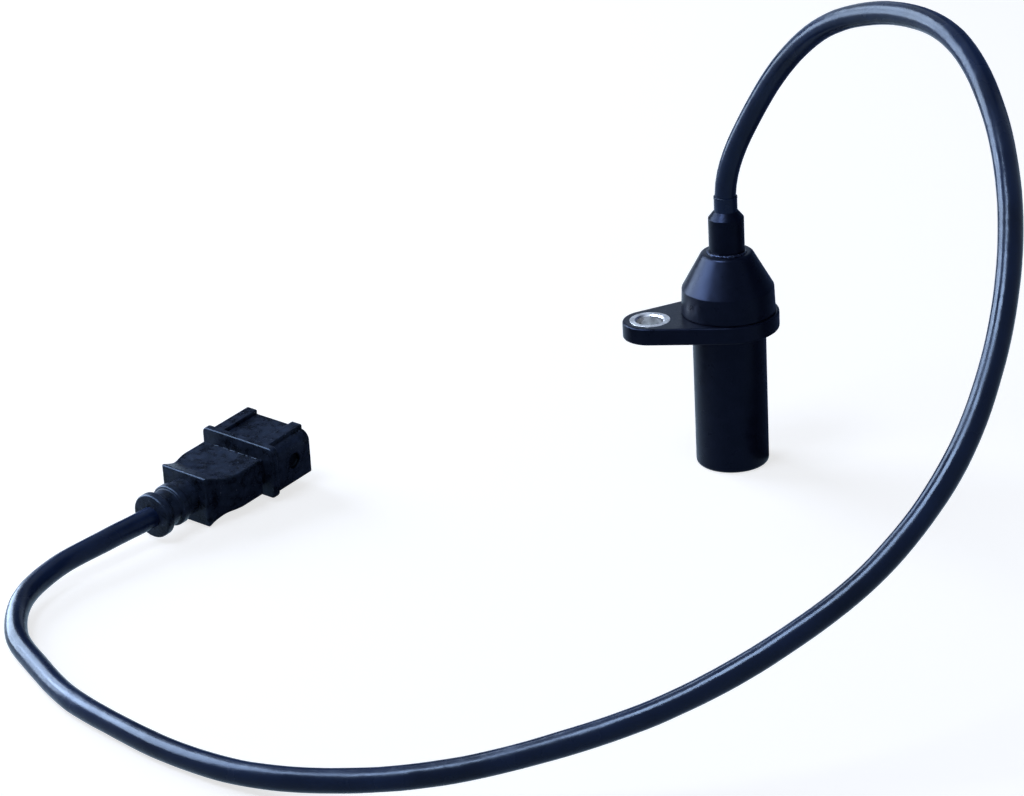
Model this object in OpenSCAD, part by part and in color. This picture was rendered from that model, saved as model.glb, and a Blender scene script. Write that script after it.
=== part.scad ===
// Crankshaft position sensor: a flanged sensing head with a coil, a magnet and a pole pin inside,
// a shielded cable and a three-way plug at the cable's far end.
// The sensing face lies at z = 0, the barrel's axis is Z and the fixing ear points along -X.

/* [Barrel] */
// Outer diameter of the sensing barrel
barrel_d = 18; // [16:0.5:24]
// Length of the barrel from the sensing face to the flange
barrel_len = 35.4; // [30:0.1:60]
// Wall of the barrel round the coil
barrel_wall = 1.7; // [1.2:0.1:2.2]
// Plastic between the pole pin and the sensing face
face_wall = 1.2; // [0.8:0.1:2]
// Rounding of the sensing end
tip_r = 1; // [0.4:0.1:1.5]

/* [Flange and ear] */
// Diameter of the flange
flange_d = 24.7; // [23.5:0.1:32]
// Thickness of the flange and of the ear
flange_t = 4.3; // [3.5:0.1:8]
// Distance from the barrel's axis to the fixing hole
ear_offset = 19.7; // [18:0.1:30]
// Radius of the ear's round end
ear_r = 6.7; // [6.2:0.1:9]
// Rounding of the edges of the flange and the ear
flange_edge_r = 0.5; // [0.2:0.1:1]
// Outer diameter of the steel bushing in the ear
bushing_d = 10.1; // [9:0.1:11]
// Bore of the bushing, for an M6 screw
bushing_bore = 6.6; // [5.2:0.1:8]
// Chamfer at both ends of the bushing's bore
bushing_chamfer = 0.4; // [0.2:0.1:0.8]

/* [Head cap] */
// Diameter of the cap's rim at the cone's lower edge
cap_d = 22.5; // [20:0.1:23]
// Diameter of the cap's rim at its foot on the flange
cap_foot_d = 23; // [21:0.1:23.4]
// Height of the cap's rim
cap_rim_h = 6.3; // [4:0.1:10]
// Height of the cap's cone
cone_h = 9; // [7:0.1:14]
// Diameter of the cone at its upper edge
cone_top_d = 12.4; // [11:0.1:15]
// Rounding of the cone's upper edge
shoulder_r = 1.2; // [0.5:0.1:1.4]
// Rounding between the rim and the cone
cap_edge_r = 0.6; // [0.2:0.1:1]
// Thickness of the cap's roof
roof_t = 2.7; // [2:0.1:4]
// Depth of the cap's spigot in the barrel
spigot_len = 5.6; // [4:0.1:7]
// Wall of the spigot
spigot_wall = 1.4; // [1:0.1:2]

/* [Cable gland] */
// Diameter of the gland
gland_d = 8.7; // [8.2:0.1:10]
// Height of the gland's straight part above the cap
gland_h = 8.7; // [5:0.1:12]
// Height of the gland's sloped end
gland_slope_h = 1.8; // [1:0.1:3]
// Width of the gland's top face round the cable
gland_land = 0.25; // [0.2:0.05:0.6]
// Wall of the gland's stem in the cap's roof
stem_wall = 1.6; // [1.2:0.1:2]
// Length of the cable that is held in the gland
gland_grip = 7.5; // [5:0.1:9]
// Width of the sealing bead round the gland's foot
bead_w = 0.9; // [0.5:0.1:1.2]
// Height of the sealing bead
bead_h = 0.5; // [0.4:0.1:1.2]
// Length of the sleeve on the cable above the gland
sleeve_len = 3.6; // [2:0.1:4]
// Wall of the sleeve
sleeve_wall = 0.2; // [0.2:0.05:0.5]

/* [Coil and magnet] */
// Diameter of the soft iron pole pin
pin_d = 5; // [3:0.1:6]
// Wall of the bobbin's tube round the pole pin
bobbin_wall = 1; // [0.6:0.1:1.2]
// Thickness of the bobbin's two flanges
bobbin_flange_t = 1.4; // [1:0.1:2]
// Gap between the winding and the barrel's bore
winding_gap = 0.7; // [0.3:0.1:1.5]
// Diameter of the magnet
magnet_d = 9; // [7:0.1:10]
// Height of the magnet
magnet_h = 6; // [3:0.1:8]
// Thickness of the disc that carries the coil's posts
carrier_t = 3; // [2:0.1:4]
// Diameter of the coil's two posts
post_d = 1; // [0.8:0.1:1.2]
// Distance between the two posts
post_pitch = 8; // [6:0.1:9]
// Height of the posts above their carrier
post_h = 3; // [2:0.1:5]
// Depth of the posts in their carrier
post_depth = 1.6; // [1:0.1:1.8]

/* [Cable] */
// Outer diameter of the cable
cable_d = 5.2; // [5:0.1:5.6]
// Diameter of each insulated core
core_d = 1.4; // [1:0.1:1.5]
// Gap between neighbouring cores where they leave the cable
core_gap = 0.2; // [0.1:0.05:0.3]
// Room round the cores in the gland
core_room = 0.4; // [0.2:0.05:0.5]

/* [Plug grip] */
// Width of the grip's rear lip
lip_w = 14.3; // [13:0.1:16]
// Height of the grip's rear lip
lip_h = 13.6; // [11:0.1:14]
// Length of the slope from the lip to the flat faces
lip_slope = 5.6; // [3:0.1:7]
// Length of the grip in front of the lip's rear face
grip_len = 17.8; // [16:0.1:24]
// Width of the grip's front half
grip_w = 18.5; // [18:0.1:20]
// Height of the grip's top face above the plug's axis
grip_top = 4.4; // [4:0.1:5.4]
// Depth of the grip's bottom face below the plug's axis
grip_bottom = 5.1; // [4.4:0.1:5.4]
// Length of the straight sides of the lip
lip_side = 1.4; // [0.5:0.1:3]
// Length of the S-bend from the lip's width to the grip's width
side_bend_len = 9.6; // [5:0.1:12]
// Length of the cable that is held inside the grip
cable_depth = 2; // [0.5:0.1:3]
// Length of the ringed boot behind the lip
boot_len = 12.1; // [10:0.1:16]
// Diameter of the boot's rear ring
boot_ring_d = 11.2; // [10:0.1:12]
// Diameter of the boot's middle ring
boot_mid_ring_d = 10.5; // [9.6:0.1:11.5]
// Diameter of the boot's neck
boot_neck_d = 9.2; // [8.5:0.1:9.5]
// Length of each ring of the boot
boot_ring_len = 2.4; // [1.5:0.1:3]
// Rounding of the boot's rings
boot_ring_r = 0.5; // [0.2:0.05:0.8]

/* [Plug shell] */
// Length of the narrow neck that shows between the grip and the collar
neck_gap = 1.9; // [0.5:0.1:3]
// Depth of the neck in the grip
neck_depth = 5.8; // [4:0.1:6]
// Width of the neck
neck_w = 15.8; // [15:0.1:16.4]
// Height of the neck
neck_h = 6.8; // [5:0.1:7]
// Width of the collar
collar_w = 22.6; // [22.4:0.1:26]
// Height of the collar
collar_h = 13.8; // [13:0.1:16]
// Thickness of the collar
collar_t = 2; // [1.2:0.1:3]
// Rounding of the collar's corners
collar_r = 1.4; // [0.5:0.1:3]
// Length of the socket in front of the collar
socket_len = 12.4; // [10:0.1:18]
// Outer width of the socket
socket_w = 22; // [20:0.1:22.2]
// Outer height of the socket
socket_h = 11.6; // [11:0.1:12]
// Rounding of the socket's upper edges
socket_top_r = 2.7; // [1:0.1:3]
// Rounding of the socket's lower edges
socket_low_r = 0.6; // [0.3:0.1:1]
// Wall of the socket
socket_wall = 1.6; // [1.2:0.1:2]
// Thickness of the socket's floor
socket_floor = 1.8; // [1.2:0.1:3]
// Width of each coding rib on the socket's top
rib_w = 3.2; // [2:0.1:4]
// Distance between the outer edges of the two ribs
rib_span = 17.7; // [14:0.1:18]
// Diameter of the detent dimple in each side of the socket
dimple_d = 4.4; // [3:0.1:5]
// Depth of the detent dimples
dimple_depth = 0.7; // [0.3:0.1:0.9]
// Distance of the dimples from the socket's mouth
dimple_back = 6.1; // [3:0.1:7]

/* [Contact blades] */
// Width of each contact blade
blade_w = 2.8; // [2:0.1:3.2]
// Thickness of each contact blade
blade_t = 0.8; // [0.6:0.1:1]
// Distance between neighbouring blades
blade_pitch = 5; // [4.6:0.1:5.2]
// Distance of the blades' tips behind the socket's mouth
blade_back = 5.7; // [4.6:0.1:6]
// Bevel of the blades' tips
blade_bevel = 0.6; // [0.2:0.1:1]
// Length of the blades behind the neck
blade_tail = 1.6; // [1:0.1:2]
// Length of the crimp on each core
crimp_len = 3; // [2:0.1:3.4]
// Wall of the crimp
crimp_wall = 0.4; // [0.3:0.05:0.5]

/* [Lie of the plug] */
// Place of the lip's centre, along X
plug_x = -135.5; // [-137:0.1:-134]
// Place of the lip's centre, along Y
plug_y = 3; // [1:0.1:5]
// Heading of the plug, from +X towards +Y
plug_yaw = 41.9; // [38:0.1:46]
// Rise of the plug's nose
plug_pitch = 3.5; // [1:0.1:5]
// Drop of the plug's right side
plug_roll = 3.4; // [0:0.1:4]

/* [Hidden] */
$fn = 96;
// Clearance where one piece slips into another
slip = 0.05;
// Steps in each rounded corner of an outline
corner_steps = 6;
// How far a cut reaches past the face that it opens
over = 1;
// Straight run of the cable above its sleeve
straight_run = 0.4;
// Steps in each S-bend of the grip
bend_steps = 12;

body_colour = [0.05, 0.055, 0.09];
cable_colour = [0.1, 0.13, 0.21];
plug_colour = [0.07, 0.075, 0.12];
steel_colour = [0.75, 0.75, 0.8];
iron_colour = [0.45, 0.45, 0.47];
copper_colour = [0.72, 0.38, 0.2];
bobbin_colour = [0.85, 0.82, 0.72];
tin_colour = [0.78, 0.78, 0.76];

// Heights of the head, from the sensing face up
cavity_d = barrel_d - 2 * barrel_wall;
head_top = barrel_len + flange_t;
cone_z = head_top + cap_rim_h;
cap_top = cone_z + cone_h;
roof_z = cap_top - roof_t;
gland_slope_z = cap_top + gland_h;
gland_top = gland_slope_z + gland_slope_h;
sleeve_top = gland_top + sleeve_len;
cable_start_z = gland_top - gland_grip;

// Heights of the coil's stack: the cap's spigot holds it down on the barrel's floor
carrier_top = head_top - spigot_len;
bobbin_top = carrier_top - carrier_t;
magnet_z = bobbin_top - magnet_h;
winding_low = face_wall + bobbin_flange_t;
winding_high = magnet_z - bobbin_flange_t;
bobbin_d = cavity_d - 2 * slip;
bobbin_tube_d = pin_d + 2 * (slip + bobbin_wall);
winding_d = cavity_d - 2 * winding_gap;
spigot_d = cavity_d - 2 * slip;
spigot_bore = spigot_d - 2 * spigot_wall;
post_top = carrier_top + post_h;

// Cores, and the passages that they take
core_pitch = core_d + core_gap;
core_bore = core_pitch + core_d + 2 * core_room;
stem_d = core_bore + 2 * stem_wall;
cable_bore = cable_d + 2 * slip;
gland_top_d = cable_bore + 2 * gland_land;

// Stations along the plug's axis, from the lip's rear face forward
neck_x = grip_len - neck_depth;
collar_x = grip_len + neck_gap;
socket_x = collar_x + collar_t;
mouth_x = socket_x + socket_len;
floor_x = socket_x + socket_floor;
blade_tip_x = mouth_x - blade_back;
blade_tail_x = neck_x - blade_tail;
crimp_x = blade_tail_x - crimp_len;
wire_end_x = blade_tail_x - slip;
crimp_d = core_d + 2 * (slip + crimp_wall);

// Heights in the plug's own frame; the lip's lower right corner lies on the surface
plug_z = (lip_h / 2 * cos(plug_roll) + lip_w / 2 * sin(plug_roll)) * cos(plug_pitch) + 2 * slip;
grip_mid = (grip_top - grip_bottom) / 2;
room_h = crimp_d + 2 * core_d;

// Route of the cable: straight out of the gland, over in a high arch, down to the surface in front of
// the head, along it to the left and into the plug's boot
plug_place = [plug_x, plug_y, plug_z];
plug_axis = [cos(plug_yaw) * cos(plug_pitch), sin(plug_yaw) * cos(plug_pitch), sin(plug_pitch)];
lie = cable_d / 2 + 2 * slip;
cable_points = [
    [0, 0, cable_start_z],
    [0, 0, gland_top],
    [0, 0, sleeve_top + straight_run],
    [7.5, -6.5, 94.5],
    [17, -24, 115],
    [26.5, -47.5, 124.5],
    [32.5, -73, 126],
    [33, -101.5, 116.5],
    [28.5, -125, 99.5],
    [19.5, -142.5, 81],
    [7, -155, 63.5],
    [-11.5, -163.5, 47],
    [-34, -167, 34],
    [-56, -165.5, 23.5],
    [-78, -160.5, 15.5],
    [-99.5, -153, 9],
    [-119.5, -144, 5.5],
    [-136.5, -132.5, 3.5],
    [-150, -118, lie],
    [-161, -102, lie],
    [-170, -86, lie],
    [-175.5, -69.5, lie],
    [-179.5, -52.5, 3],
    [-177, -36, 4],
    [-168.5, -23.5, 5],
    [-155.5, -13.5, 6],
    plug_place - boot_len * plug_axis,
    plug_place + cable_depth * plug_axis
];
cable_sides = 10;
cable_steps = 2;
wire_sides = 8;
wire_steps = 3;

function unit(v) = v / norm(v);
function wrap(a) = a > 180 ? a - 360 : a < -180 ? a + 360 : a;
function flat(p) = [p[0], p[1]];

// One corner of an outline at b, rounded to radius r, between its neighbours a and c
function corner(a, b, c, r) =
    let (u = unit(a - b), v = unit(c - b), half = acos(u * v) / 2,
         centre = b + unit(u + v) * r / sin(half),
         from = b + u * r / tan(half) - centre,
         to = b + v * r / tan(half) - centre,
         start = atan2(from[1], from[0]),
         sweep = wrap(atan2(to[1], to[0]) - start))
    [for (k = [0:corner_steps]) let (w = start + sweep * k / corner_steps) centre + r * [cos(w), sin(w)]];

// An outline of corners [x, y] or, where rounded, [x, y, radius]
function rounded(corners) =
    let (n = len(corners))
    [for (i = [0:n - 1])
        let (c = corners[i], before = corners[(i + n - 1) % n], after = corners[(i + 1) % n],
             r = len(c) > 2 ? c[2] : 0)
        each r == 0 ? [flat(c)] : corner(flat(before), flat(c), flat(after), r)];

// Direction of a smooth path at its point i
function heading(points, i) =
    i == 0 ? unit(points[1] - points[0]) :
    i == len(points) - 1 ? unit(points[i] - points[i - 1]) :
    let (before = points[i] - points[i - 1], after = points[i + 1] - points[i],
         b = norm(before), a = norm(after))
    (before * a / b + after * b / a) / (a + b);

// A smooth path through the points, with the given number of steps from each to the next
function smooth(points, steps) =
    [for (i = [0:len(points) - 2], k = [0:steps - 1])
        let (t = k / steps, p = points[i], q = points[i + 1], d = norm(q - p),
             m = heading(points, i) * d, n = heading(points, i + 1) * d)
        (2 * t^3 - 3 * t^2 + 1) * p + (t^3 - 2 * t^2 + t) * m + (3 * t^2 - 2 * t^3) * q + (t^3 - t^2) * n,
     points[len(points) - 1]];

// A vector square to direction t that turns as little as possible from the vector before it
function square_to(t, before) = unit(before - (before * t) * t);

// A tube of diameter d on a smooth path through points, with both ends square to the path;
// its first ring has a corner towards the side given
module tube(points, steps, d, sides, side) {
    path = smooth(points, steps);
    last = len(path) - 1;
    axes = [for (i = [0:last])
        i == 0 ? heading(points, 0) : i == last ? heading(points, len(points) - 1) : unit(heading(path, i))];
    rights = [for (i = 0, r = square_to(axes[0], side); i <= last;
                   i = i + 1, r = i > last ? r : square_to(axes[i], r)) r];
    rings = [for (i = [0:last], k = [0:sides - 1])
                let (w = 360 * k / sides, up = cross(axes[i], rights[i]))
                path[i] + d / 2 * (cos(w) * rights[i] + sin(w) * up)];
    walls = [for (i = [0:last - 1], k = [0:sides - 1])
                let (a = i * sides + k, b = i * sides + (k + 1) % sides)
                each [[a, a + sides, b], [b, a + sides, b + sides]]];
    ends = [[for (k = [0:sides - 1]) k], [for (k = [sides - 1:-1:0]) last * sides + k]];
    polyhedron(rings, concat(walls, ends));
}

// A solid of revolution about Z, from an outline of [radius, height]
module turned(corners) rotate_extrude() polygon(rounded(corners));

// An outline of [Y, Z] drawn out along X
module along_x(from, to, corners)
    translate([from, 0, 0]) rotate([90, 0, 90]) linear_extrude(to - from) polygon(rounded(corners));

// A rectangle about [0, mid] as an outline
function rectangle(w, h, r, mid = 0) =
    [[-w / 2, mid - h / 2, r], [w / 2, mid - h / 2, r], [w / 2, mid + h / 2, r], [-w / 2, mid + h / 2, r]];

// The plug's own frame: X along its axis to the mouth, Z up, origin in the lip's rear face
module at_plug()
    translate(plug_place) rotate([0, -plug_pitch, plug_yaw]) rotate([plug_roll, 0, 0]) children();

// One rounded disc of the flange's plate
module plate_disc(r)
    rotate_extrude($fn = 48)
        polygon(rounded([[0, 0], [r, 0, flange_edge_r], [r, flange_t, flange_edge_r], [0, flange_t]]));

module sensor_housing()
    color(body_colour) difference() {
        union() {
            turned([[0, 0], [barrel_d / 2, 0, tip_r], [barrel_d / 2, head_top], [0, head_top]]);
            translate([0, 0, barrel_len]) hull() {
                plate_disc(flange_d / 2);
                translate([-ear_offset, 0, 0]) plate_disc(ear_r);
            }
        }
        translate([0, 0, face_wall]) cylinder(d = cavity_d, h = head_top);
        translate([-ear_offset, 0, barrel_len - over]) cylinder(d = bushing_d, h = flange_t + 2 * over);
    }

module mounting_bushing()
    color(steel_colour) translate([-ear_offset, 0, barrel_len]) turned([
        [bushing_bore / 2 + bushing_chamfer, 0],
        [bushing_d / 2 - slip, 0],
        [bushing_d / 2 - slip, flange_t],
        [bushing_bore / 2 + bushing_chamfer, flange_t],
        [bushing_bore / 2, flange_t - bushing_chamfer],
        [bushing_bore / 2, bushing_chamfer]
    ]);

module pole_pin()
    color(iron_colour) translate([0, 0, face_wall]) cylinder(d = pin_d, h = magnet_z - face_wall);

module magnet()
    color(iron_colour) translate([0, 0, magnet_z]) cylinder(d = magnet_d, h = magnet_h);

module coil_bobbin()
    color(bobbin_colour) turned([
        [pin_d / 2 + slip, face_wall],
        [bobbin_d / 2, face_wall],
        [bobbin_d / 2, winding_low],
        [bobbin_tube_d / 2, winding_low],
        [bobbin_tube_d / 2, winding_high],
        [bobbin_d / 2, winding_high],
        [bobbin_d / 2, bobbin_top],
        [magnet_d / 2 + slip, bobbin_top],
        [magnet_d / 2 + slip, magnet_z],
        [pin_d / 2 + slip, magnet_z]
    ]);

module coil_winding()
    color(copper_colour) turned([
        [bobbin_tube_d / 2, winding_low],
        [winding_d / 2, winding_low],
        [winding_d / 2, winding_high],
        [bobbin_tube_d / 2, winding_high]
    ]);

module both_posts(d, low, high)
    for (side = [-1, 1])
        translate([0, side * post_pitch / 2, low]) cylinder(d = d, h = high - low);

module post_carrier()
    color(bobbin_colour) difference() {
        translate([0, 0, bobbin_top]) cylinder(d = bobbin_d, h = carrier_t);
        both_posts(post_d + 2 * slip, carrier_top - post_depth, carrier_top + over);
    }

module coil_posts()
    color(tin_colour) both_posts(post_d, carrier_top - post_depth, post_top);

// A core from one of the coil's posts up into the end of the cable
module coil_lead(side) {
    at_post = side * post_pitch / 2;
    at_cable = side * core_pitch / 2;
    tube([
        [0, at_post, post_top],
        [0, at_post, post_top + 2 * core_d],
        [0, (at_post + at_cable) / 2, (post_top + roof_z) / 2],
        [0, at_cable, roof_z],
        [0, at_cable, cable_start_z]
    ], wire_steps, core_d, wire_sides, [1, 0, 0]);
}

module coil_lead_front() color("white") coil_lead(-1);
module coil_lead_back() color("saddlebrown") coil_lead(1);

module head_cap()
    color(body_colour) turned([
        [spigot_bore / 2, carrier_top],
        [spigot_d / 2, carrier_top],
        [spigot_d / 2, head_top],
        [cap_foot_d / 2, head_top],
        [cap_d / 2, cone_z, cap_edge_r],
        [cone_top_d / 2, cap_top, shoulder_r],
        [stem_d / 2 + slip, cap_top],
        [stem_d / 2 + slip, roof_z],
        [spigot_bore / 2, cone_z]
    ]);

module cable_gland()
    color(body_colour) turned([
        [core_bore / 2, roof_z],
        [stem_d / 2, roof_z],
        [stem_d / 2, cap_top],
        [gland_d / 2, cap_top],
        [gland_d / 2, gland_slope_z],
        [gland_top_d / 2, gland_top],
        [cable_bore / 2, gland_top],
        [cable_bore / 2, cable_start_z],
        [core_bore / 2, cable_start_z]
    ]);

module seal_bead()
    color(body_colour) turned([
        [gland_d / 2, cap_top],
        [gland_d / 2 + bead_w, cap_top],
        [gland_d / 2 + bead_w, cap_top + bead_h, bead_h / 2],
        [gland_d / 2, cap_top + bead_h]
    ]);

module cable_sleeve()
    color(cable_colour) turned([
        [cable_bore / 2, gland_top],
        [cable_bore / 2 + sleeve_wall, gland_top],
        [cable_bore / 2 + sleeve_wall, sleeve_top],
        [cable_bore / 2, sleeve_top]
    ]);

module cable()
    color(cable_colour) tube(cable_points, cable_steps, cable_d, cable_sides, [1, 0, 0]);

// Half width of the grip at x: narrow at the lip, then out in an S-bend
function grip_half(x) =
    let (t = min(max((x - lip_side) / side_bend_len, 0), 1))
    (lip_w + (grip_w - lip_w) * t^2 * (3 - 2 * t)) / 2;

module grip_plan() {
    stations = concat(0, [for (k = [0:bend_steps]) lip_side + side_bend_len * k / bend_steps], grip_len);
    polygon(concat(
        [for (x = stations) [x, -grip_half(x)]],
        [for (i = [len(stations) - 1:-1:0]) [stations[i], grip_half(stations[i])]]
    ));
}

// Side of the grip: the lip flares up and down from the flat faces
module grip_side()
    polygon(rounded([
        [0, -lip_h / 2],
        [lip_slope, -grip_bottom, lip_slope / 4],
        [grip_len, -grip_bottom],
        [grip_len, grip_top],
        [lip_slope, grip_top, lip_slope / 4],
        [0, lip_h / 2]
    ]));

// The ringed boot, drawn along its axis from its root in the grip to its rear ring
module boot() {
    neck = boot_neck_d / 2;
    // A ring of radius r that ends at height high, rounded as far as its step from the neck allows
    function ring(r, high) =
        let (low = high - boot_ring_len, round = min(boot_ring_r, (r - neck) * 0.8))
        [[neck, low], [r, low, round], [r, high, round]];
    mid_high = boot_len / 2;
    rotate([0, -90, 0]) turned(concat(
        [[0, -cable_depth], [neck, -cable_depth]],
        ring(boot_mid_ring_d / 2, mid_high),
        [[neck, mid_high]],
        ring(boot_ring_d / 2, boot_len),
        [[0, boot_len]]
    ));
}

// Room in the grip where the cores spread from the cable to the blades
module wire_room() {
    near = cable_d / 2;
    far = blade_pitch + max(crimp_d, blade_w) / 2 + slip;
    translate([0, 0, -room_h / 2]) linear_extrude(room_h) polygon([
        [cable_depth, near], [cable_depth, -near], [crimp_x, -far],
        [neck_x, -far], [neck_x, far], [crimp_x, far]
    ]);
}

module plug_grip()
    color(plug_colour) at_plug() difference() {
        union() {
            intersection() {
                translate([0, 0, -lip_h]) linear_extrude(2 * lip_h) grip_plan();
                translate([0, lip_w, 0]) rotate([90, 0, 0]) linear_extrude(2 * lip_w) grip_side();
            }
            boot();
        }
        translate([-boot_len - over, 0, 0]) rotate([0, 90, 0])
            cylinder(d = cable_bore, h = boot_len + over + cable_depth);
        wire_room();
        along_x(neck_x, grip_len + over, rectangle(neck_w + 2 * slip, neck_h + 2 * slip, 0, grip_mid));
    }

// Section of the socket, with round upper corners
function socket_outline(w, h, top_r, low_r) =
    [[-w / 2, -h / 2, low_r], [w / 2, -h / 2, low_r], [w / 2, h / 2, top_r], [-w / 2, h / 2, top_r]];

module plug_shell()
    color(plug_colour) at_plug() difference() {
        union() {
            along_x(neck_x, collar_x + collar_t / 2, rectangle(neck_w, neck_h, 0, grip_mid));
            along_x(collar_x, socket_x, rectangle(collar_w, collar_h, collar_r));
            along_x(collar_x, mouth_x, socket_outline(socket_w, socket_h, socket_top_r, socket_low_r));
            for (side = [-1, 1]) along_x(collar_x, mouth_x, [
                [side * (rib_span / 2 - rib_w), 0], [side * rib_span / 2, 0],
                [side * rib_span / 2, collar_h / 2], [side * (rib_span / 2 - rib_w), collar_h / 2]
            ]);
        }
        along_x(floor_x, mouth_x + over, socket_outline(
            socket_w - 2 * socket_wall, socket_h - 2 * socket_wall, max(socket_top_r - socket_wall, 0), 0));
        for (side = [-1, 1])
            translate([mouth_x - dimple_back, side * (socket_w / 2 - dimple_depth), 0])
                rotate([-90 * side, 0, 0]) cylinder(d = dimple_d, h = dimple_depth + over);
        for (i = [-1:1])
            translate([0, i * blade_pitch, 0])
                along_x(neck_x - over, floor_x + over, rectangle(blade_w + 2 * slip, blade_t + 2 * slip, 0));
    }

// A flat blade with a bevelled tip and a crimp on its tail
module blade(i)
    color(tin_colour) at_plug() translate([0, i * blade_pitch, 0]) {
        translate([0, 0, -blade_t / 2]) linear_extrude(blade_t) polygon([
            [blade_tail_x, -blade_w / 2], [blade_tip_x - blade_bevel, -blade_w / 2],
            [blade_tip_x, blade_bevel - blade_w / 2], [blade_tip_x, blade_w / 2 - blade_bevel],
            [blade_tip_x - blade_bevel, blade_w / 2], [blade_tail_x, blade_w / 2]
        ]);
        translate([crimp_x, 0, 0]) rotate([0, 90, 0]) difference() {
            cylinder(d = crimp_d, h = crimp_len + blade_t);
            translate([0, 0, -over]) cylinder(d = core_d + 2 * slip, h = crimp_len + over);
        }
    }

module blade_left() blade(1);
module blade_middle() blade(0);
module blade_right() blade(-1);

// A core from the end of the cable into the crimp of one blade
module plug_wire(i) {
    at_cable = i * core_pitch;
    at_blade = i * blade_pitch;
    at_plug() tube([
        [cable_depth, at_cable, 0],
        [cable_depth + core_d / 2, at_cable, 0],
        [crimp_x - core_d / 2, at_blade, 0],
        [crimp_x, at_blade, 0],
        [wire_end_x, at_blade, 0]
    ], wire_steps, core_d, wire_sides, [0, 0, 1]);
}

module plug_wire_left() color("white") plug_wire(1);
module plug_wire_middle() color("silver") plug_wire(0);
module plug_wire_right() color("saddlebrown") plug_wire(-1);

sensor_housing();
mounting_bushing();
pole_pin();
magnet();
coil_bobbin();
coil_winding();
post_carrier();
coil_posts();
coil_lead_front();
coil_lead_back();
head_cap();
cable_gland();
seal_bead();
cable_sleeve();
cable();
plug_grip();
plug_shell();
blade_left();
blade_middle();
blade_right();
plug_wire_left();
plug_wire_middle();
plug_wire_right();
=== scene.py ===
"""Looks of a crankshaft position sensor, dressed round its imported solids.

The sensing head stands on its face. A glossy cable leaves its gland, arches over, comes down in front of
the head and runs along the floor to a three-way plug. Sizes of the head and the plug are millimetres in
the solids' own frame, and are turned into metres when a mesh is made. The cable, the camera, the stage
and the materials are in metres.
"""

import math

import bmesh
import bpy
from mathutils import Matrix, Vector, noise


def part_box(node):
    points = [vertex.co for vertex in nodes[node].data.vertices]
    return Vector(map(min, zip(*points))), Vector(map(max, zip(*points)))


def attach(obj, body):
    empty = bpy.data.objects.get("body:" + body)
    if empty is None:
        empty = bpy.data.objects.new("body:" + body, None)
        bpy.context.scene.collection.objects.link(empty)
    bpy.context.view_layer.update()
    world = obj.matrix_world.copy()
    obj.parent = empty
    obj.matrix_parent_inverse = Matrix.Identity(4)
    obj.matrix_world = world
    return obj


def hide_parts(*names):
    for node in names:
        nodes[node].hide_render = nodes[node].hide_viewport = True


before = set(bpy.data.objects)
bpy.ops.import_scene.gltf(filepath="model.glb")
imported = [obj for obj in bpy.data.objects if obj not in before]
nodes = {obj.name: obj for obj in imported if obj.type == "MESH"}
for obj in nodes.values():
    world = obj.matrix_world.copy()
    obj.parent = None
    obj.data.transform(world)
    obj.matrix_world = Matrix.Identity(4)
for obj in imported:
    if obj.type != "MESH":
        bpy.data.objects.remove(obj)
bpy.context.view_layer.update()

MM = 0.001

# Clearance of a fit, and how far a cutter or a joined piece runs past the face that it meets
SLIP = 0.05
REACH = 1.0

# Head: heights from the sensing face up
BARREL_R = 9.0
BARREL_LEN = 35.4
CAVITY_R = 7.3
FACE_WALL = 1.2
TIP_R = 1.0
BARREL_FILLET = 0.5
FLANGE_R = 12.35
FLANGE_T = 4.3
EAR_X = -19.7
EAR_R = 6.7
PLATE_EDGE_R = 0.5
BUSHING_R = 5.05
BUSHING_BORE_R = 3.3
BUSHING_CHAMFER = 0.4
BUSHING_EDGE_R = 0.12
HEAD_TOP = BARREL_LEN + FLANGE_T
CAP_R = 11.25
CAP_FOOT_R = 11.5
CAP_FOOT_EDGE_R = 0.1
FOOT_GROOVE = 0.2
RIM_EDGE_R = 0.6
CONE_Z = HEAD_TOP + 6.3
CAP_TOP = CONE_Z + 9.0
CONE_TOP_R = 6.2
SHOULDER_R = 1.2
ROOF_Z = CAP_TOP - 2.7
SPIGOT_LOW = HEAD_TOP - 5.6
SPIGOT_R = 7.25
SPIGOT_EDGE_R = 0.3
SPIGOT_BORE_R = 5.85
STEM_R = 3.5
CORE_BORE_R = 1.9
GLAND_R = 4.35
GLAND_EDGE_R = 0.35
GLAND_SLOPE_Z = CAP_TOP + 8.7
GLAND_TOP = GLAND_SLOPE_Z + 1.8
GLAND_TOP_R = 2.9
GLAND_END_EDGE_R = 0.15
CABLE_BORE_R = 2.65
CABLE_START_Z = GLAND_TOP - 7.5
SLEEVE_TOP = GLAND_TOP + 3.6
SLEEVE_R = 2.85
SLEEVE_LIP = 0.05
SLEEVE_LIP_H = 0.5
SLEEVE_LIP_ROOT_R = 0.02
SLEEVE_LIP_EDGE_R = 0.1
WINDING_BORE_R = 3.55
WINDING_R = 6.6
WIRE_R = 0.12

# Sealing bead: its section, its thickness round the gland and the noise of its lumps
BEAD_W = 0.8
BEAD_H = 0.45
BEAD_EDGE_SHARE = 0.6
BEAD_MEAN = 0.6
BEAD_SWING = 0.4
BEAD_THIN_SIDE = 60
LUMP_SHARE = 0.35
LUMP_SCALE = 0.5
LUMP_SLICE = 3.0
LUMP_FRACTAL = (0.8, 2.2, 3)

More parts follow.
